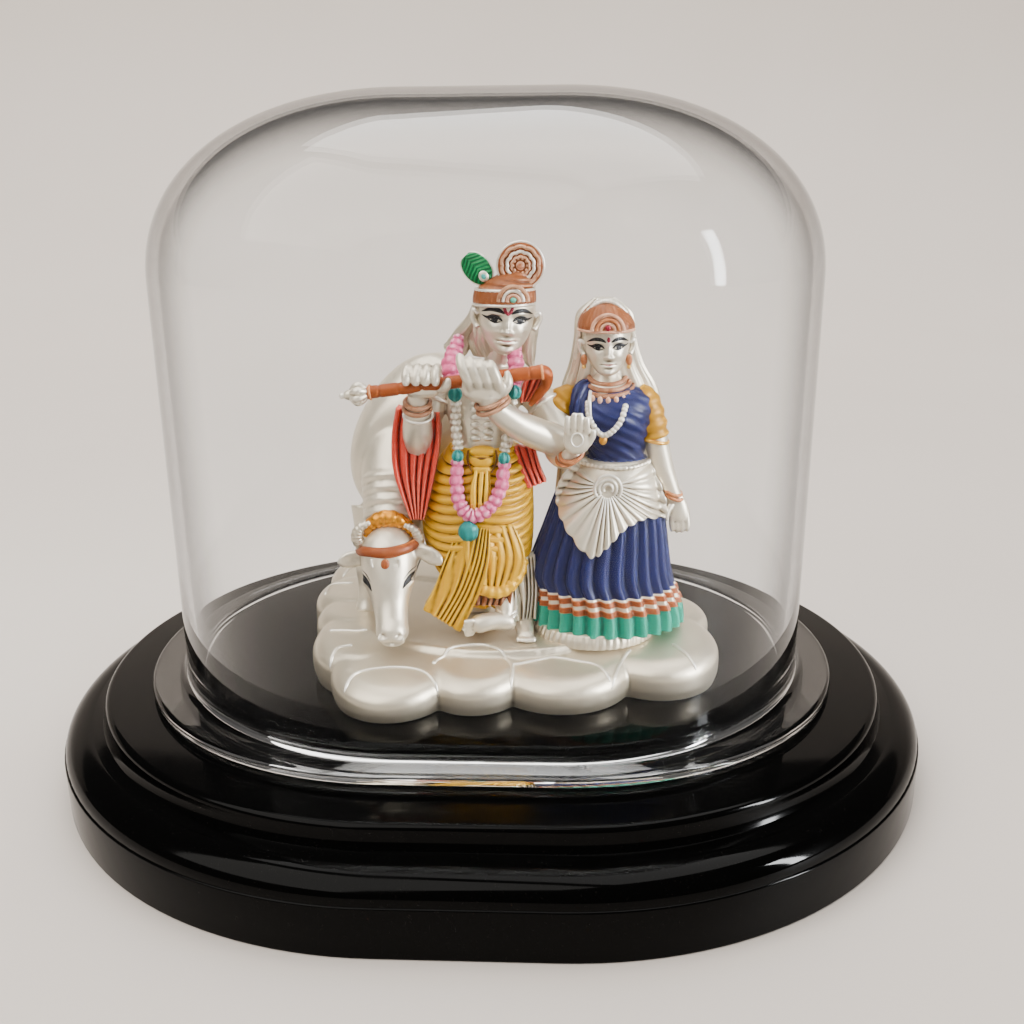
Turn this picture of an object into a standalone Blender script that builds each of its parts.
"""Krishna, Radha and a cow on a cloud, cast as one, on an oval plinth under a clear dome.

Metres, +Z up, origin at the middle of the plinth's underside, the figures facing -Y.
"""

import math

import bmesh
import bpy
from mathutils import Matrix, Vector

# Driving sizes of the casting
GROUP_HEIGHT = 0.0799
SEAT_GAP = 0.0003

# Driving sizes of the plinth
STRAIGHT_HALF = 0.014
PLATFORM_MARGIN = 0.0061
PLATFORM_RISE = 0.0034
PLATFORM_ROUND = 0.0010
TIER_MARGIN = 0.0088
TIER_HEIGHT = 0.0044
TIER_SETBACK = 0.0028
TIER_ROUND = 0.0012
CUSHION_WIDTH = 0.0053
CUSHION_RISE = 0.0042
CUSHION_LIP = 0.0003
BAND_HEIGHT = 0.0090

# Driving sizes of the dome
DOME_CLEARANCE = 0.0006
DOME_WALL = 0.0020
DOME_HEADROOM = 0.0236
DOME_SHOULDER = 0.0327
DOME_FOOT_WIDTH = 0.0068
DOME_FOOT_THICKNESS = 0.0020
DOME_FILLET = 0.0018
SHOULDER_POWER = 2.16

# How finely turned work is cut, for a half turn, and how near points are merged
TURN_STEPS = 16
MERGE_REACH = 0.00001

# The casting's forms are melted together at this grain, then thinned to this many triangles
SKIN_GRAIN = GROUP_HEIGHT / 180.0
CASTING_FACES = 6600

# The casting is drawn in parts of its own height: 79.9 parts tall, its underside at part 21.3,
# the front of its cloud 38.6 parts before the middle
DRAWN_HEIGHT = 79.9
DRAWN_SEAT = 21.3
DRAWN_FRONT = 38.6
UNIT = GROUP_HEIGHT / DRAWN_HEIGHT

# Heights that follow from the sizes above
TIER_TOP = BAND_HEIGHT + CUSHION_RISE + TIER_HEIGHT
PLATFORM_TOP = TIER_TOP + PLATFORM_RISE
GROUP_SEAT = PLATFORM_TOP + SEAT_GAP
GROUP_TOP = GROUP_SEAT + GROUP_HEIGHT

# End radii that follow from the sizes above
PLATFORM_RADIUS = DRAWN_FRONT * UNIT + PLATFORM_MARGIN
DOME_BORE = PLATFORM_RADIUS + DOME_CLEARANCE
DOME_RADIUS = DOME_BORE + DOME_WALL
FOOT_RADIUS = DOME_RADIUS + DOME_FOOT_WIDTH
TIER_RADIUS = FOOT_RADIUS + TIER_MARGIN
CUSHION_RADIUS = TIER_RADIUS + TIER_SETBACK
BAND_RADIUS = CUSHION_RADIUS + CUSHION_WIDTH


def clear_scene():
    """Removes every object, so that a second run starts clean."""
    for item in list(bpy.data.objects):
        bpy.data.objects.remove(item, do_unlink=True)


def make_collection(name):
    """Returns a new collection linked to the scene."""
    group = bpy.data.collections.new(name)
    bpy.context.scene.collection.children.link(group)
    return group


def make_finish(name, colour, roughness, metallic, clear=0.0):
    """Returns a material with one Principled BSDF."""
    finish = bpy.data.materials.new(name)
    finish.use_nodes = True
    shader = finish.node_tree.nodes["Principled BSDF"]
    shader.inputs["Base Color"].default_value = (*colour, 1.0)
    shader.inputs["Roughness"].default_value = roughness
    shader.inputs["Metallic"].default_value = metallic
    shader.inputs["Transmission Weight"].default_value = clear
    return finish


def object_from(bm, name, group):
    """Turns a bmesh into an object of outward triangles and links it to a collection."""
    bmesh.ops.triangulate(bm, faces=bm.faces)
    bmesh.ops.recalc_face_normals(bm, faces=bm.faces)
    mesh = bpy.data.meshes.new(name)
    bm.to_mesh(mesh)
    bm.free()
    item = bpy.data.objects.new(name, mesh)
    group.objects.link(item)
    return item


def settle(item):
    """Applies an object's modifiers to its mesh."""
    bpy.context.view_layer.update()
    settled = bpy.data.meshes.new_from_object(item.evaluated_get(bpy.context.evaluated_depsgraph_get()))
    item.modifiers.clear()
    item.data = settled


# Turned work on the oval plan


def quarter(centre, half_width, half_height, start, end, steps, power=2.0):
    """Points of an elliptic arc between two angles in degrees, 0 outward and 90 up."""
    points = []
    for step in range(steps + 1):
        angle = math.radians(start + (end - start) * step / steps)
        reach = abs(math.cos(angle)) ** (2.0 / power) * math.copysign(1.0, math.cos(angle))
        rise = abs(math.sin(angle)) ** (2.0 / power) * math.copysign(1.0, math.sin(angle))
        points.append((centre[0] + half_width * reach, centre[1] + half_height * rise))
    return points


def oval_turned(name, profile, group):
    """Turns a profile a half turn, draws the half out to the middle plane and mirrors it."""
    mesh = bpy.data.meshes.new(name + "_profile")
    edges = [(i, i + 1) for i in range(len(profile) - 1)]
    if profile[0][0] > 0.0:
        edges.append((len(profile) - 1, 0))
    mesh.from_pydata([(0.0, -reach, height) for reach, height in profile], edges, [])
    blank = bpy.data.objects.new(name + "_blank", mesh)
    group.objects.link(blank)
    turn = blank.modifiers.new("half_turn", "SCREW")
    turn.angle = math.pi
    turn.steps = TURN_STEPS
    turn.render_steps = TURN_STEPS
    turn.use_merge_vertices = True
    turn.merge_threshold = MERGE_REACH
    settle(blank)

    bm = bmesh.new()
    bm.from_mesh(blank.data)
    bpy.data.objects.remove(blank, do_unlink=True)
    bmesh.ops.remove_doubles(bm, verts=bm.verts, dist=MERGE_REACH)
    bmesh.ops.translate(bm, verts=bm.verts, vec=(STRAIGHT_HALF, 0.0, 0.0))
    rim = [edge for edge in bm.edges if len(edge.link_faces) == 1]
    drawn = bmesh.ops.extrude_edge_only(bm, edges=rim)
    fresh = [part for part in drawn["geom"] if isinstance(part, bmesh.types.BMVert)]
    for vert in fresh:
        vert.co.x = 0.0
    bmesh.ops.recalc_face_normals(bm, faces=bm.faces)
    half = bpy.data.meshes.new(name)
    bm.to_mesh(half)
    bm.free()
    item = bpy.data.objects.new(name, half)
    group.objects.link(item)
    mirror = item.modifiers.new("other_half", "MIRROR")
    mirror.merge_threshold = MERGE_REACH
    settle(item)
    item.data.shade_smooth()
    item.data.set_sharp_from_angle(angle=math.radians(30.0))
    return item


def make_plinth(group):
    """The black base: band, cushion moulding, upper tier and the platform inside the dome."""
    cushion_base = BAND_HEIGHT + CUSHION_LIP
    cushion_top = BAND_HEIGHT + CUSHION_RISE
    profile = [(0.0, 0.0), (BAND_RADIUS, 0.0), (BAND_RADIUS, BAND_HEIGHT)]
    profile += quarter((CUSHION_RADIUS, cushion_base), CUSHION_WIDTH - CUSHION_LIP,
                       CUSHION_RISE - CUSHION_LIP, 0.0, 90.0, 4)
    profile += [(TIER_RADIUS + 0.2 * TIER_SETBACK, cushion_top + 0.14 * TIER_HEIGHT),
                (TIER_RADIUS, cushion_top + 0.45 * TIER_HEIGHT)]
    profile += quarter((TIER_RADIUS - TIER_ROUND, TIER_TOP - TIER_ROUND), TIER_ROUND, TIER_ROUND,
                       0.0, 90.0, 3)
    profile += [(PLATFORM_RADIUS, TIER_TOP)]
    profile += quarter((PLATFORM_RADIUS - PLATFORM_ROUND, PLATFORM_TOP - PLATFORM_ROUND),
                       PLATFORM_ROUND, PLATFORM_ROUND, 0.0, 90.0, 2)
    profile += [(0.0, PLATFORM_TOP)]
    plinth = oval_turned("plinth", profile, group)
    plinth.data.materials.append(make_finish("black_gloss", (0.006, 0.006, 0.007), 0.08, 0.0))
    return plinth


def make_dome(group):
    """The clear cover: foot, upright wall and rounded shoulder, hollow and open below."""
    under = TIER_TOP + SEAT_GAP
    foot_top = under + DOME_FOOT_THICKNESS
    outer_top = GROUP_TOP + DOME_HEADROOM + DOME_WALL
    spring = outer_top - DOME_SHOULDER
    lip = DOME_FOOT_THICKNESS / 2.0
    outside = quarter((FOOT_RADIUS - lip, under + lip), lip, lip, -90.0, 90.0, 4)
    outside += [(DOME_RADIUS + DOME_FILLET, foot_top)]
    outside += [(DOME_RADIUS + 0.3 * DOME_FILLET, foot_top + 0.3 * DOME_FILLET)]
    outside += [(DOME_RADIUS, foot_top + DOME_FILLET)]
    outside += quarter((0.0, spring), DOME_RADIUS, DOME_SHOULDER, 0.0, 90.0, 8, SHOULDER_POWER)
    inside = quarter((0.0, spring), DOME_BORE, DOME_SHOULDER - DOME_WALL, 90.0, 0.0, 7, SHOULDER_POWER)
    inside += [(DOME_BORE, under)]
    apex = [(0.0, outside[-1][1])]
    crown = [(0.0, inside[0][1])]
    shell = oval_turned("dome", crown + inside[1:] + outside[:-1] + apex, group)
    shell.data.materials.append(make_finish("clear_acrylic", (0.96, 0.98, 0.98), 0.02, 0.0, 1.0))
    return shell


# Forms of the casting, in its own parts


def spot(x, y, z):
    """A point of the casting, from its drawn parts to metres."""
    return Vector((x * UNIT, y * UNIT, GROUP_SEAT + (z - DRAWN_SEAT) * UNIT))


def smooth_rows(keys, count):
    """Reads count rows from a smooth curve through the key rows."""
    rows = []
    last = len(keys) - 1
    for row in range(count):
        place = row * last / (count - 1)
        at = min(int(place), last - 1)
        t = place - at
        before = keys[max(at - 1, 0)]
        after = keys[min(at + 2, last)]
        mixed = []
        for p0, p1, p2, p3 in zip(before, keys[at], keys[at + 1], after):
            bend = 2.0 * p0 - 5.0 * p1 + 4.0 * p2 - p3
            twist = 3.0 * (p1 - p2) + p3 - p0
            mixed.append(p1 + 0.5 * t * (p2 - p0 + t * (bend + t * twist)))
        rows.append(mixed)
    return rows


def skin(rings):
    """A closed form over equal rings of points, its ends closed flat."""
    bm = bmesh.new()
    rows = [[bm.verts.new(point) for point in ring] for ring in rings]
    count = len(rows[0])
    for low, high in zip(rows, rows[1:]):
        for i in range(count):
            j = (i + 1) % count
            bm.faces.new((low[i], low[j], high[j], high[i]))
    bm.faces.new(rows[0])
    bm.faces.new(rows[-1])
    return bm


def no_ripple(angle, level):
    """The ripple of a plain form."""
    return 0.0


def stacked(keys, sides, rows, ripple=no_ripple):
    """A form of level oval rings: each key is height, middle x, middle y, half width, half depth."""
    rings = []
    for z, x, y, wide, deep in smooth_rows(keys, rows):
        ring = []
        for side in range(sides):
            angle = 2.0 * math.pi * side / sides
            swell = 1.0 + ripple(angle, z) / max(wide, deep)
            ring.append(spot(x + wide * swell * math.sin(angle), y - deep * swell * math.cos(angle), z))
        rings.append(ring)
    return skin(rings)


def limb(keys, sides, rows, flat=1.0, facing=(0.0, -1.0, 0.0)):
    """A tube through keys of x, y, z and radius; flat thins it towards the way it faces."""
    path = smooth_rows(keys, rows)
    rings = []
    for at, (x, y, z, radius) in enumerate(path):
        here = Vector((x, y, z))
        ahead = Vector(path[min(at + 1, rows - 1)][:3])
        behind = Vector(path[max(at - 1, 0)][:3])
        along = (ahead - behind).normalized()
        side_way = along.cross(Vector(facing)).normalized()
        front_way = side_way.cross(along).normalized()
        ring = []
        for side in range(sides):
            angle = 2.0 * math.pi * side / sides
            out = side_way * math.cos(angle) + front_way * (math.sin(angle) * flat)
            ring.append(spot(*(here + out * radius)))
        rings.append(ring)
    return skin(rings)


def pillow(middle, halves, turn=(0.0, 0.0, 0.0), square=1.0, sides=12, rows=7):
    """A rounded cushion; square below 1 makes it boxier, turn is in degrees about X, Y and Z."""
    bm = bmesh.new()
    bmesh.ops.create_uvsphere(bm, u_segments=sides, v_segments=rows, radius=1.0)
    spin = Matrix.Rotation(math.radians(turn[2]), 3, "Z")
    spin = spin @ Matrix.Rotation(math.radians(turn[1]), 3, "Y")
    spin = spin @ Matrix.Rotation(math.radians(turn[0]), 3, "X")
    for vert in bm.verts:
        boxed = Vector([math.copysign(abs(part) ** square, part) for part in vert.co])
        local = Vector([part * half for part, half in zip(boxed, halves)])
        vert.co = spot(*(Vector(middle) + spin @ local))
    return bm


def hoop(middle, across, deep, thick, tilt=(0.0, 0.0), around=14, sides=5):
    """A ring such as a bangle: oval, level unless tilted about X and Y in degrees."""
    spin = Matrix.Rotation(math.radians(tilt[1]), 3, "Y") @ Matrix.Rotation(math.radians(tilt[0]), 3, "X")
    bm = bmesh.new()
    rows = []
    for step in range(around):
        turn = 2.0 * math.pi * step / around
        ring = []
        for side in range(sides):
            angle = 2.0 * math.pi * side / sides
            out = thick * math.cos(angle)
            local = Vector(((across + out) * math.cos(turn), (deep + out) * math.sin(turn),
                            thick * math.sin(angle)))
            ring.append(bm.verts.new(spot(*(Vector(middle) + spin @ local))))
        rows.append(ring)
    for step in range(around):
        here = rows[step]
        ahead = rows[(step + 1) % around]
        for side in range(sides):
            after = (side + 1) % sides
            bm.faces.new((here[side], ahead[side], ahead[after], here[after]))
    return bm


def arch(middle, reach, thick, steps=8, sides=5, half_turn=180.0):
    """An upright half ring, as on a crown, facing forward."""
    keys = []
    for step in range(steps + 1):
        angle = math.radians(90.0 - half_turn / 2.0 + half_turn * step / steps)
        keys.append((middle[0] + reach * math.cos(angle), middle[1],
                     middle[2] + reach * math.sin(angle), thick))
    return limb(keys, sides, steps + 1)


def sheet(front, depth):
    """A cloth slab: a grid of front points, its back set depth behind them."""
    rings = []
    for row in front:
        back = [(x, y + depth, z) for x, y, z in reversed(row)]
        rings.append([spot(*point) for point in list(row) + back])
    return skin(rings)


def pleated(left, right, rows, pleats, fold, depth):
    """Hanging cloth between two edges, its front zigzagging in upright pleats.

    left and right are keys of x, y, z down each edge; fold is how far a pleat stands out.
    """
    left_edge = smooth_rows(left, rows)
    right_edge = smooth_rows(right, rows)
    grid = []
    for a, b in zip(left_edge, right_edge):
        row = []
        for step in range(2 * pleats + 1):
            share = step / (2.0 * pleats)
            point = [p + (q - p) * share for p, q in zip(a, b)]
            point[1] -= fold if step % 2 else 0.0
            row.append(tuple(point))
        grid.append(row)
    return sheet(grid, depth)


# The cloud base


CLOUD_TOP = 30.0
CLOUD_FLOOR = DRAWN_SEAT
CLOUD_LOBES = (
    # middle x, middle y, half width, half depth, crest, lean towards the front
    (-16.2, -26.6, 11.2, 12.0, 29.2, 0.16),
    (-22.8, -16.2, 10.2, 13.0, 29.8, 0.06),
    (-1.6, -24.0, 10.4, 11.6, 29.5, 0.15),
    (14.2, -22.2, 13.4, 12.6, 29.5, 0.16),
    (32.0, -17.2, 11.8, 12.0, 29.9, 0.12),
    (34.6, -5.0, 9.0, 9.6, 30.2, 0.0),
    (26.0, 3.4, 12.0, 10.0, 30.0, 0.0),
    (6.5, 13.5, 14.0, 11.5, 30.1, 0.0),
    (-11.0, 18.6, 14.5, 11.8, 30.3, 0.0),
    (-26.0, 16.6, 10.8, 12.4, 30.1, 0.0),
    (-28.6, 3.4, 8.4, 9.6, 30.4, 0.0),
    (-26.6, -6.6, 8.0, 8.6, 30.1, 0.0),
)


def lobe(x, y, wide, deep, crest, lean, sides=16):
    """One cushion of the cloud: upright sides, a rounded shoulder and a level crest."""
    shoulder = 3.6
    keys = [(CLOUD_FLOOR - 1.5, 1.1), (CLOUD_FLOOR + 2.2, 0.0)]
    for angle in (0.0, 35.0, 62.0, 84.0):
        turn = math.radians(angle)
        keys.append((crest - shoulder * (1.0 - math.sin(turn)), shoulder * (1.0 - math.cos(turn))))
    rings = []
    for z, inset in keys:
        ring = []
        rise = max(z - CLOUD_FLOOR, 0.0) / (crest - CLOUD_FLOOR)
        for side in range(sides):
            angle = 2.0 * math.pi * side / sides
            across = (wide - inset) * math.sin(angle)
            ahead = (deep - inset) * math.cos(angle)
            ring.append(spot(x + across, y - ahead, z - rise * lean * (ahead + 4.0)))
        rings.append(ring)
    return skin(rings)


def cloud_forms():
    """A bank of cushions around a level middle."""
    middle = stacked([(CLOUD_FLOOR - 1.2, 1.0, -4.0, 31.0, 22.5), (CLOUD_TOP - 1.0, 1.0, -4.0, 31.0, 22.5),
                      (CLOUD_TOP - 0.2, 1.0, -4.0, 29.0, 20.5)], 20, 3)
    return [middle] + [lobe(*values) for values in CLOUD_LOBES]


# Radha


SKIRT = ((31.4, 23.2, -13.0, 13.9, 10.8), (34.6, 23.2, -13.0, 13.5, 10.5), (38.0, 22.6, -12.9, 12.8, 10.1),
         (42.0, 21.5, -12.8, 12.9, 9.8), (50.0, 22.3, -12.6, 11.1, 8.4), (57.0, 23.0, -12.4, 9.2, 6.9),
         (60.5, 23.8, -12.2, 7.4, 5.6), (62.8, 24.4, -12.0, 5.2, 4.2))
SKIRT_PLEATS = 28


BODICE = ((61.6, 24.4, -12.0, 5.1, 4.1), (64.5, 24.2, -12.2, 5.2, 4.4), (68.0, 23.6, -12.7, 6.4, 5.4),
          (71.0, 23.2, -12.9, 7.2, 5.9), (74.0, 22.9, -12.4, 7.2, 4.9), (76.2, 22.5, -12.0, 4.4, 3.6))


def front_of(keys, x, z):
    """How far forward a stacked form stands at a width and height."""
    low = keys[0]
    for high in keys[1:]:
        if z <= high[0]:
            break
        low = high
    share = min(max((z - low[0]) / max(high[0] - low[0], 0.01), 0.0), 1.0)
    _, middle, y, wide, deep = [a + (b - a) * share for a, b in zip(low, high)]
    inside = max(0.12, 1.0 - ((x - middle) / wide) ** 2)
    return y - deep * math.sqrt(inside)


def skirt_ripple(angle, z):
    """Upright pleats, deeper towards the hem."""
    depth = 0.30 + 0.45 * (62.0 - z) / 30.0
    return depth * math.cos(SKIRT_PLEATS * angle)


def apron_form():
    """The fan of pleats that hangs from her waist over the skirt."""
    pleats = 9
    rows = 5
    lower = smooth_rows([(13.2, 57.0), (14.6, 53.2), (16.8, 49.4), (19.4, 46.9), (22.0, 49.0),
                         (25.0, 52.0), (28.2, 53.4), (31.0, 52.6), (33.0, 52.6)], 2 * pleats + 1)
    upper = smooth_rows([(14.6, 60.6), (18.8, 62.2), (24.0, 62.6), (29.0, 62.4), (31.6, 60.8)],
                        2 * pleats + 1)
    grid = []
    for row in range(rows):
        drop = row / (rows - 1.0)
        line = []
        for step in range(2 * pleats + 1):
            x = upper[step][0] + (lower[step][0] - upper[step][0]) * drop
            z = upper[step][1] + (lower[step][1] - upper[step][1]) * drop
            lift = 0.9 + (0.45 * drop if step % 2 else 0.0)
            line.append((x, front_of(SKIRT, x, z) - lift, z))
        grid.append(line)
    return sheet(grid, 3.0)


def radha_forms():
    """Radha from the underskirt up to her veil."""
    forms = []
    forms.append(stacked([(29.0, 20.4, -13.6, 11.6, 10.9), (31.8, 20.6, -13.4, 11.2, 10.4)], 40, 2,
                         lambda angle, z: 0.25 * math.cos(20 * angle)))
    forms.append(stacked(SKIRT, 2 * SKIRT_PLEATS, 9, skirt_ripple))
    forms.append(apron_form())
    forms.append(stacked(BODICE, 16, 8))
    forms.append(limb([(22.2, -12.0, 74.0, 2.4), (22.1, -12.6, 79.6, 2.2)], 10, 3))
    forms.append(stacked([(77.8, 22.1, -15.0, 1.6, 1.7), (78.9, 22.1, -14.4, 3.0, 3.2),
                          (80.8, 22.1, -13.7, 3.9, 4.3), (83.6, 22.0, -13.3, 4.3, 4.7),
                          (86.8, 21.9, -13.1, 4.3, 4.7), (89.4, 21.8, -13.0, 2.8, 3.2)], 14, 9))
    # Crown with its arch
    forms.append(stacked([(85.1, 21.8, -13.4, 4.8, 5.2), (86.6, 21.8, -13.3, 5.1, 5.5),
                          (88.8, 21.7, -13.0, 4.3, 4.8), (90.4, 21.6, -12.6, 2.2, 2.8)], 16, 6))
    forms.append(arch((21.9, -18.4, 85.6), 2.5, 0.6))
    forms.append(arch((21.9, -18.8, 85.6), 1.2, 0.5, steps=5))
    # Veil, from the head down her back
    forms.append(stacked([(46.0, 22.6, -6.6, 9.6, 2.8), (54.0, 22.8, -7.0, 9.4, 3.4),
                          (62.0, 23.0, -7.4, 9.2, 3.8), (70.0, 23.0, -8.2, 9.4, 4.0),
                          (75.0, 22.9, -8.9, 8.5, 4.2), (79.5, 22.3, -9.6, 6.6, 4.6),
                          (84.0, 21.9, -10.2, 5.4, 5.2), (88.5, 21.7, -10.4, 4.8, 5.2),
                          (91.2, 21.6, -11.0, 1.8, 2.6)], 24, 13,
                         lambda angle, z: 0.35 * math.cos(12 * angle)))
    # Collar and beads
    forms.append(hoop((22.2, -13.0, 76.2), 4.6, 4.2, 0.9, tilt=(14.0, 0.0), around=16))
    strand = smooth_rows([(18.6, 73.4), (19.4, 70.4), (21.4, 67.9), (24.0, 69.6), (25.4, 72.8)], 9)
    forms.append(limb([(x, front_of(BODICE, x, z) - 0.1, z, 0.6) for x, z in strand], 5, 9))
    # Her left arm, hanging
    forms.append(limb([(28.6, -12.0, 74.2, 2.4), (30.4, -12.0, 71.6, 3.1), (31.4, -12.3, 68.4, 3.0),
                       (31.9, -12.5, 65.4, 2.9)], 12, 6))
    forms.append(limb([(31.9, -12.5, 66.5, 2.0), (33.4, -12.8, 61.0, 1.8), (35.1, -13.4, 55.6, 1.3)], 10, 5))
    forms.append(hoop((35.2, -13.4, 55.6), 1.7, 1.7, 0.45, tilt=(10.0, 15.0), around=10, sides=4))
    forms.append(limb([(35.2, -13.4, 55.4, 1.3), (35.7, -13.7, 53.2, 1.9), (36.1, -14.0, 50.8, 1.9),
                       (36.2, -14.3, 48.7, 1.1)], 10, 6, flat=0.65))
    # Her right arm, palm raised
    forms.append(limb([(17.6, -12.2, 74.4, 2.2), (15.6, -12.6, 73.4, 2.9), (13.4, -13.4, 70.2, 2.6),
                       (12.6, -14.4, 67.6, 2.4)], 12, 6))
    forms.append(limb([(12.7, -14.2, 68.2, 1.8), (12.9, -16.4, 64.8, 1.9), (14.9, -19.4, 63.8, 1.8),
                       (16.6, -21.6, 66.0, 1.7)], 10, 6))
    forms.append(hoop((15.4, -20.6, 64.5), 2.7, 2.2, 0.55, tilt=(28.0, -8.0), around=12, sides=4))
    forms.append(pillow((16.8, -22.8, 69.0), (2.85, 1.25, 4.0), turn=(-6.0, 0.0, 0.0), square=0.8,
                        sides=12, rows=8))
    return forms


# Krishna


def dhoti_ripple(angle, z):
    """Folds that loop around the legs, level in front and climbing towards the hips."""
    sag = 1.6 * abs(math.sin(angle))
    return 0.42 * math.cos(2.0 * math.pi * (z - sag) / 2.0)


def fist_fingers(first, last, lean, radius, count=4):
    """Fingers side by side, from the knuckles to the tips."""
    forms = []
    for finger in range(count):
        share = finger / (count - 1.0)
        root = [a + (b - a) * share for a, b in zip(first, last)]
        tip = [a + b for a, b in zip(root, lean)]
        middle = [(a + b) / 2.0 for a, b in zip(root, tip)]
        middle[1] -= 0.5
        forms.append(limb([(*root, radius), (*middle, radius * 1.05), (*tip, radius * 0.8)], 6, 4))
    return forms


def krishna_forms():
    """Krishna from his feet up to the disc of his crown."""
    forms = []
    # Legs and feet: he stands on one and crosses the other before it
    forms.append(limb([(5.4, -13.6, 44.0, 3.4), (6.9, -14.6, 38.0, 2.6), (7.3, -15.2, 31.0, 2.1)], 10, 5))
    forms.append(limb([(7.2, -14.6, 31.2, 2.0), (7.5, -18.6, 30.8, 1.9), (7.9, -22.0, 30.2, 1.5)], 10, 5,
                      flat=0.8, facing=(0.0, 0.0, 1.0)))
    forms.append(limb([(5.6, -16.0, 39.5, 2.8), (2.4, -19.4, 37.8, 2.7), (0.4, -20.8, 36.2, 2.5)], 10, 4))
    forms.append(limb([(4.8, -19.4, 34.4, 2.2), (1.2, -21.6, 33.6, 2.2), (-1.6, -23.2, 32.4, 1.9),
                       (-3.2, -24.2, 31.6, 1.2)], 10, 6))
    # Dhoti: hips and thighs, then the cloth that falls between and sweeps to one side
    forms.append(stacked([(35.0, 1.2, -14.0, 5.0, 4.6), (38.5, 0.2, -14.0, 6.8, 5.8),
                          (43.0, -0.8, -13.8, 8.8, 7.0), (48.0, -1.2, -13.6, 9.8, 7.4),
                          (54.0, -1.2, -13.3, 9.9, 7.1), (60.0, -0.8, -13.2, 9.1, 6.3),
                          (63.0, -0.3, -13.4, 7.4, 5.2), (65.4, 0.1, -13.6, 5.8, 4.4)],
                         20, 31, dhoti_ripple))
    forms.append(pleated([(-5.6, -20.6, 50.0), (-6.0, -21.4, 44.0), (-5.2, -21.6, 38.6)],
                         [(6.4, -20.2, 50.0), (6.8, -20.9, 44.0), (5.6, -20.8, 38.4)], 4, 5, 0.8, 5.0))
    forms.append(pleated([(-5.0, -20.8, 46.5), (-8.4, -20.6, 40.6), (-11.2, -20.2, 35.2)],
                         [(0.4, -21.8, 46.0), (-1.6, -22.0, 39.0), (-5.4, -22.4, 31.8)], 4, 3, 0.8, 3.4))
    # Chest, neck and head
    forms.append(stacked([(63.4, 0.2, -13.6, 5.6, 4.3), (66.5, 0.0, -13.9, 5.4, 4.3),
                          (70.5, -0.2, -13.7, 6.2, 4.9), (74.5, 0.4, -13.1, 7.1, 5.0),
                          (77.6, 1.0, -12.5, 6.2, 4.3), (79.6, 1.6, -12.2, 3.6, 3.2)], 16, 8))
    forms.append(limb([(1.8, -12.2, 77.5, 2.8), (3.6, -13.4, 84.0, 2.6)], 10, 3))
    forms.append(stacked([(81.5, 4.6, -16.0, 1.7, 1.8), (82.6, 4.5, -15.3, 3.1, 3.3),
                          (84.6, 4.4, -14.6, 4.2, 4.5), (87.6, 4.3, -14.2, 4.8, 5.1),
                          (91.0, 4.2, -14.0, 4.8, 5.1), (94.0, 4.1, -13.8, 3.0, 3.4)], 14, 9))
    # Hair behind the head and the locks over his shoulders
    forms.append(pillow((2.2, -11.2, 87.4), (5.6, 4.8, 6.4), sides=12, rows=8))
    forms.append(limb([(-1.8, -12.6, 88.0, 1.8), (-4.2, -11.6, 84.6, 1.9), (-6.6, -10.6, 81.8, 1.3)], 8, 5))
    forms.append(limb([(8.0, -11.6, 87.0, 1.6), (9.0, -11.0, 83.4, 1.6), (9.4, -11.0, 80.8, 1.1)], 8, 4))
    # Crown: band, slanting cap, disc, crescent and feather
    forms.append(stacked([(90.2, 4.1, -14.4, 5.3, 5.5), (91.0, 4.1, -14.4, 5.6, 5.8),
                          (93.2, 4.2, -14.3, 5.4, 5.6), (94.8, 5.0, -14.0, 4.4, 4.6),
                          (96.0, 6.0, -13.8, 2.6, 3.0)], 16, 7))
    forms.append(pillow((7.0, -14.4, 97.1), (4.25, 1.9, 4.12), square=0.75, sides=16, rows=10))
    forms.append(arch((7.0, -16.2, 96.6), 2.6, 0.55))
    forms.append(arch((5.8, -19.8, 91.4), 2.4, 0.7))
    forms.append(arch((5.8, -20.1, 91.4), 1.0, 0.5, steps=5))
    forms.append(pillow((-0.7, -14.4, 96.2), (2.1, 1.0, 3.4), turn=(0.0, -24.0, 0.0), sides=10, rows=8))
    # His right arm, raised to the flute
    forms.append(limb([(-4.6, -12.2, 77.2, 2.6), (-7.4, -12.4, 76.2, 3.1), (-9.6, -14.0, 71.0, 2.8),
                       (-11.4, -15.8, 65.8, 2.8)], 12, 6))
    forms.append(limb([(-11.6, -15.8, 65.2, 2.7), (-11.4, -17.6, 68.0, 3.3), (-11.1, -19.6, 71.6, 3.1),
                       (-10.8, -21.0, 74.4, 2.5)], 12, 6))
    forms.append(hoop((-10.8, -21.0, 73.9), 3.0, 2.8, 0.6, tilt=(28.0, 0.0), around=14, sides=4))
    forms.append(pillow((-10.0, -22.2, 76.6), (3.5, 2.2, 2.8), square=0.85, sides=10, rows=6))
    forms.append(pillow((-9.6, -21.2, 79.0), (3.7, 2.0, 2.4), square=0.85, sides=10, rows=6))
    forms += fist_fingers((-12.4, -22.2, 80.2), (-6.4, -22.0, 80.8), (0.0, -2.6, -0.5), 1.0)
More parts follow.
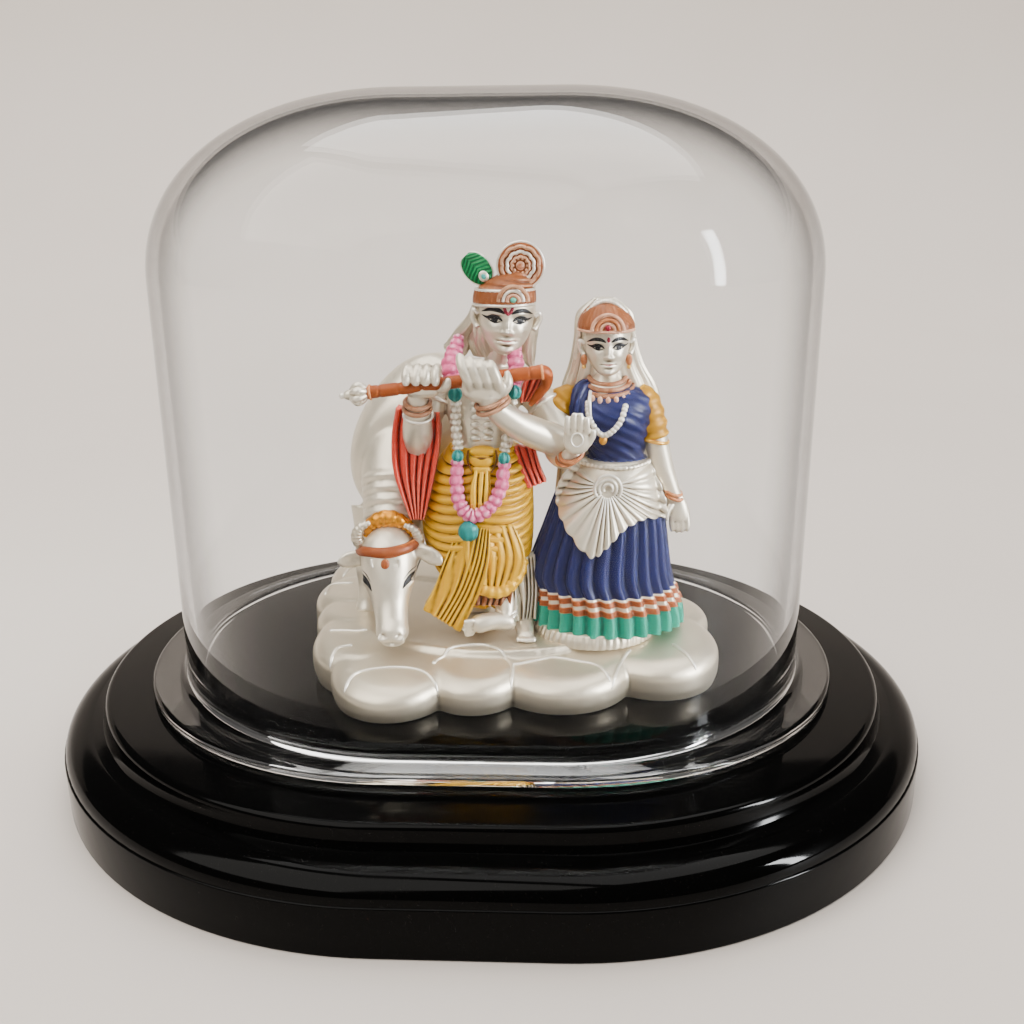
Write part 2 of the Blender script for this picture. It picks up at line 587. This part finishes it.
    # His left arm, crossing over to the flute
    forms.append(limb([(5.8, -12.4, 76.0, 2.8), (9.2, -12.8, 74.4, 3.2), (12.4, -14.8, 70.4, 3.0),
                       (15.0, -17.0, 66.4, 2.9)], 12, 6))
    forms.append(limb([(15.2, -17.2, 66.2, 2.6), (11.6, -19.4, 67.8, 3.2), (6.4, -22.2, 70.8, 3.1),
                       (2.2, -24.0, 74.2, 2.5)], 12, 6))
    forms.append(hoop((2.1, -24.0, 74.3), 3.1, 2.8, 0.6, tilt=(22.0, 24.0), around=14, sides=4))
    forms.append(pillow((1.6, -24.8, 77.4), (4.2, 2.5, 3.3), turn=(0.0, 8.0, 0.0), square=0.85,
                        sides=12, rows=8))
    forms += fist_fingers((-1.6, -26.2, 79.2), (4.0, -26.0, 79.6), (-1.2, 1.8, 3.6), 0.95)
    # Flute with its flower end
    forms.append(limb([(-19.6, -23.1, 76.4, 1.25), (-4.0, -22.4, 78.2, 1.25), (10.6, -21.0, 79.7, 1.3)],
                      8, 4))
    forms.append(pillow((-21.0, -23.2, 76.2), (2.3, 1.7, 1.8), turn=(0.0, -7.0, 0.0), sides=10, rows=6))
    forms.append(pillow((-23.2, -23.4, 75.8), (1.0, 1.0, 1.0), sides=6, rows=4))
    # Garlands and their beads
    forms.append(limb([(-4.0, -14.6, 84.6, 1.2), (-6.0, -17.0, 81.4, 1.5), (-6.6, -19.0, 78.4, 1.4),
                       (-4.8, -19.6, 75.2, 1.3), (-4.9, -19.2, 70.0, 1.1), (-4.3, -18.8, 64.8, 1.1)], 6, 11))
    forms.append(limb([(7.0, -15.6, 84.0, 1.2), (6.9, -18.2, 80.6, 1.5), (6.0, -19.0, 76.0, 1.4),
                       (5.4, -18.6, 70.0, 1.1), (4.2, -18.8, 64.4, 1.1)], 6, 9))
    forms.append(limb([(-4.2, -19.2, 64.6, 1.2), (-4.4, -20.6, 59.6, 1.3), (-3.6, -21.7, 55.4, 1.3),
                       (-1.4, -22.1, 53.6, 1.4), (1.6, -21.9, 55.2, 1.3), (3.5, -21.0, 59.0, 1.3),
                       (4.1, -19.4, 64.2, 1.2)], 6, 15))
    for x, y, z, size in ((-4.7, -20.6, 75.2, 1.3), (5.6, -20.4, 75.5, 1.3), (-4.1, -20.4, 64.6, 1.15),
                          (4.1, -20.4, 64.2, 1.15), (-2.3, -22.4, 51.6, 2.0)):
        forms.append(pillow((x, y, z), (size, size * 0.8, size), sides=8, rows=5))
    # Belt, knot and sash
    forms.append(hoop((0.1, -13.6, 64.8), 5.6, 4.6, 0.7, around=16))
    forms.append(pillow((0.1, -18.6, 64.1), (2.1, 1.6, 1.7), square=0.85, sides=10, rows=6))
    forms.append(pleated([(-1.3, -19.8, 63.0), (-2.0, -21.0, 59.0), (-2.1, -21.6, 55.6)],
                         [(1.5, -19.8, 63.0), (1.7, -21.0, 59.0), (1.6, -21.6, 55.6)], 3, 3, 0.5, 2.6))
    # Shawl: over his right arm, and its ends at his left side
    forms.append(pleated([(-15.6, -16.4, 72.6), (-16.5, -16.6, 67.0), (-16.2, -17.0, 60.4),
                          (-13.2, -18.4, 52.2)],
                         [(-7.6, -16.2, 72.0), (-7.6, -17.2, 66.5), (-8.8, -18.4, 59.6),
                          (-10.6, -19.2, 52.4)], 6, 4, 0.9, 4.0))
    forms.append(pleated([(5.4, -15.4, 65.4), (6.6, -15.8, 61.4), (8.0, -16.0, 57.4)],
                         [(9.4, -14.8, 64.8), (10.4, -15.2, 61.4), (11.6, -15.4, 58.6)], 4, 2, 0.6, 2.4))
    forms.append(limb([(10.4, -20.2, 79.0, 1.3), (10.2, -18.0, 76.8, 1.5), (8.6, -16.4, 74.0, 1.2)], 6, 4))
    return forms


# The cow


def barrel(keys, sides, rows):
    """A body along Y, each key its y, middle x, foot z, top z and half width, fuller below."""
    rings = []
    for y, x, foot, top, wide in smooth_rows(keys, rows):
        ring = []
        for side in range(sides):
            angle = 2.0 * math.pi * side / sides
            rise = 0.5 - 0.5 * math.cos(angle)
            bulge = 1.0 - 0.34 * rise * rise
            ring.append(spot(x + wide * bulge * math.sin(angle), y, foot + (top - foot) * rise))
        rings.append(ring)
    return skin(rings)


def cow_forms():
    """The cow stands behind his right side and lowers her head before the cloud."""
    forms = []
    forms.append(barrel([(-8.6, -14.8, 53.0, 68.0, 6.0), (-6.8, -14.2, 48.0, 73.5, 12.0),
                         (-1.0, -11.6, 43.6, 79.4, 17.0), (8.0, -10.8, 42.8, 78.6, 18.2),
                         (17.0, -10.6, 44.4, 77.6, 17.0), (23.6, -10.6, 50.0, 75.6, 12.0),
                         (25.8, -10.6, 57.0, 70.0, 5.4)], 16, 12))
    for side_x, lean in ((-23.6, -0.8), (-2.6, 0.6)):
        # Foreleg with its knee and hoof, then the hind leg with its thigh
        forms.append(limb([(side_x + 0.6, -2.6, 50.0, 4.4), (side_x, -5.4, 40.6, 2.5),
                           (side_x + lean, -5.8, 36.4, 2.3), (side_x + lean, -6.0, 32.4, 1.9),
                           (side_x + lean, -6.6, 29.2, 2.7)], 8, 7))
        forms.append(pillow((side_x + 1.6, 17.0, 54.0), (6.4, 6.6, 11.5), sides=10, rows=7))
        forms.append(limb([(side_x + 0.6, 18.0, 47.0, 4.2), (side_x, 20.6, 40.0, 2.4),
                           (side_x + lean, 19.6, 33.4, 1.9), (side_x + lean, 18.6, 29.2, 2.7)], 8, 6))
    # Tail
    forms.append(limb([(-10.6, 24.0, 74.0, 1.4), (-10.4, 26.6, 67.0, 1.3), (-10.2, 26.2, 54.0, 1.2),
                       (-10.0, 25.4, 46.0, 2.2), (-10.0, 24.6, 39.0, 1.0)], 7, 8))
    # Neck, its folds, and the lowered head from the poll to the muzzle
    forms.append(limb([(-14.6, 2.0, 64.0, 11.0), (-16.4, -5.0, 58.6, 8.2), (-17.4, -9.8, 52.6, 6.2),
                       (-17.6, -12.6, 47.4, 5.0)], 14, 7))
    for share in range(4):
        forms.append(hoop((-17.0 - 0.15 * share, -9.2 - 1.1 * share, 56.4 - 1.9 * share),
                          6.0 - 0.4 * share, 5.4 - 0.3 * share, 0.9, tilt=(-34.0, 0.0), around=12, sides=4))
    forms.append(limb([(-17.6, -15.0, 49.4, 3.4), (-17.5, -17.2, 46.6, 5.1), (-17.4, -18.8, 43.6, 5.4),
                       (-17.2, -20.6, 40.6, 4.7), (-16.8, -22.6, 37.4, 3.5), (-16.4, -24.6, 34.6, 3.1),
                       (-16.1, -26.0, 32.6, 3.1), (-15.9, -26.6, 31.2, 1.8)], 14, 11, flat=0.88))
    # Horns around the cap, the band across the brow and its drop
    forms.append(limb([(-22.6, -17.4, 46.4, 1.3), (-23.3, -17.8, 48.8, 1.4), (-22.0, -17.8, 50.8, 1.1),
                       (-19.6, -17.6, 51.0, 0.5)], 7, 6))
    forms.append(limb([(-12.4, -17.4, 46.6, 1.3), (-12.0, -17.8, 49.0, 1.4), (-13.6, -17.8, 51.0, 1.1),
                       (-16.0, -17.6, 51.6, 0.5)], 7, 6))
    forms.append(pillow((-17.8, -16.4, 50.2), (3.4, 2.6, 2.3), sides=10, rows=6))
    forms.append(limb([(-23.0, -17.4, 45.4, 1.1), (-20.4, -21.6, 44.8, 1.2), (-17.4, -23.0, 44.8, 1.2),
                       (-14.4, -21.6, 45.4, 1.2), (-11.9, -17.4, 46.4, 1.1)], 6, 9))
    forms.append(pillow((-17.4, -23.0, 43.2), (1.0, 1.0, 1.8), sides=6, rows=4))
    # Ears
    forms.append(pillow((-10.2, -15.8, 44.2), (3.4, 1.2, 1.9), turn=(0.0, 28.0, 0.0), sides=8, rows=6))
    forms.append(pillow((-24.6, -15.8, 43.0), (3.3, 1.2, 1.8), turn=(0.0, -22.0, 0.0), sides=8, rows=6))
    return forms


def melted(forms, name, group):
    """Melts overlapping closed forms into one skin."""
    heap = bmesh.new()
    for form in forms:
        part = bpy.data.meshes.new("form")
        form.to_mesh(part)
        form.free()
        heap.from_mesh(part)
        bpy.data.meshes.remove(part)
    casting = object_from(heap, name, group)
    melt = casting.modifiers.new("one_skin", "REMESH")
    melt.mode = "VOXEL"
    melt.voxel_size = SKIN_GRAIN
    settle(casting)
    return casting


def cut_flat(item, height, cutters):
    """Cuts off what an object has below a height."""
    size = 4.0 * GROUP_HEIGHT
    below = bmesh.new()
    bmesh.ops.create_cube(below, size=size)
    bmesh.ops.translate(below, verts=below.verts, vec=(0.0, 0.0, height - size / 2.0))
    floor = object_from(below, "floor_cutter", cutters)
    cut = item.modifiers.new("flat_underside", "BOOLEAN")
    cut.operation = "DIFFERENCE"
    cut.solver = "MANIFOLD"
    cut.object = floor
    settle(item)
    bpy.data.objects.remove(floor, do_unlink=True)


def thinned(item, faces):
    """Thins a mesh to about a number of triangles."""
    item.data.calc_loop_triangles()
    thin = item.modifiers.new("fewer_faces", "DECIMATE")
    thin.ratio = faces / len(item.data.loop_triangles)
    settle(item)


def fill_pockets(item):
    """Removes the walls of sealed pockets, so that only the largest body stays."""
    bm = bmesh.new()
    bm.from_mesh(item.data)
    bodies = []
    unseen = set(bm.verts)
    while unseen:
        body = [unseen.pop()]
        for vert in body:
            for edge in vert.link_edges:
                other = edge.other_vert(vert)
                if other in unseen:
                    unseen.discard(other)
                    body.append(other)
        bodies.append(body)
    for body in sorted(bodies, key=len)[:-1]:
        bmesh.ops.delete(bm, geom=body, context="VERTS")
    bm.to_mesh(item.data)
    bm.free()


def make_figure_group(group, cutters):
    """The casting: cloud, Radha, Krishna and cow as one solid, flat below."""
    forms = cloud_forms() + radha_forms() + krishna_forms() + cow_forms()
    casting = melted(forms, "figure_group", group)
    cut_flat(casting, GROUP_SEAT, cutters)
    fill_pockets(casting)
    thinned(casting, CASTING_FACES)
    casting.data.materials.clear()
    casting.data.materials.append(make_finish("satin_silver", (0.78, 0.77, 0.74), 0.3, 0.9))
    return casting


def main():
    """Builds the three pieces."""
    clear_scene()
    group = make_collection("radha_krishna_dome")
    make_plinth(group)
    make_dome(group)
    make_figure_group(group, make_collection("cutters"))


main()
